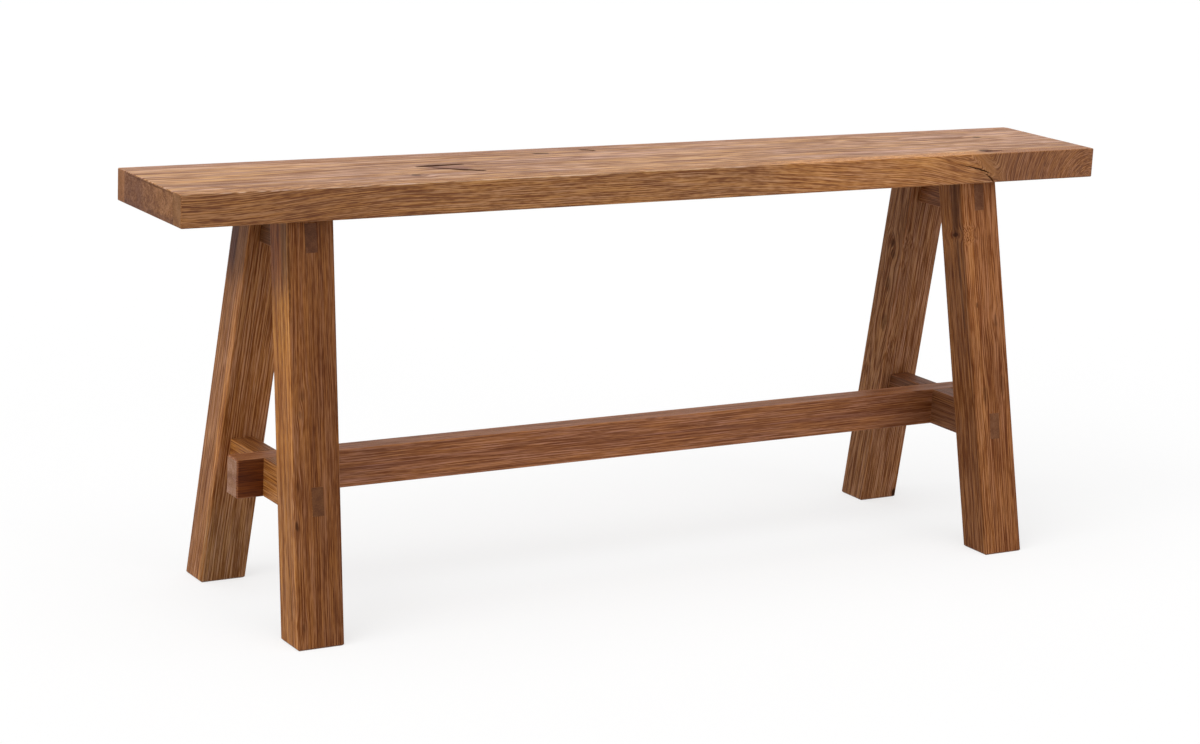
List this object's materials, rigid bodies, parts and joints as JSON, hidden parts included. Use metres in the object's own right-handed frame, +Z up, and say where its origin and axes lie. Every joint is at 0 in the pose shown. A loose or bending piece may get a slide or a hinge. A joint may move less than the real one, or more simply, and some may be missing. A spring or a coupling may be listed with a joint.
{
  "type": "trestle bench",
  "caption": "Narrow plank-seat timber bench on splayed trestle legs with through-tenoned rails and one long halved stretcher.",
  "frame": {"origin": "on the floor, midway between the four legs", "axes": "+X along the seat, +Y across it towards the rear, +Z up"},
  "size_m": [1.19, 0.2998, 0.48],
  "materials": {
    "seat_wood": "oiled",
    "seat_edge_wood": "oiled",
    "leg_wood": "oiled",
    "rail_wood": "oiled",
    "stretcher_wood": "oiled",
    "screw_steel": "zinc plated"
  },
  "bodies": {
    "root": {"seat_core": "seat_wood", "seat_front_edge": "seat_edge_wood", "seat_rear_edge": "seat_edge_wood", "left_front_leg": "leg_wood", "left_rear_leg": "leg_wood", "right_front_leg": "leg_wood", "right_rear_leg": "leg_wood", "left_top_rail": "rail_wood", "right_top_rail": "rail_wood", "left_lower_rail": "rail_wood", "right_lower_rail": "rail_wood", "stretcher": "stretcher_wood", "seat_screws": "screw_steel"}
  },
  "joints": []
}
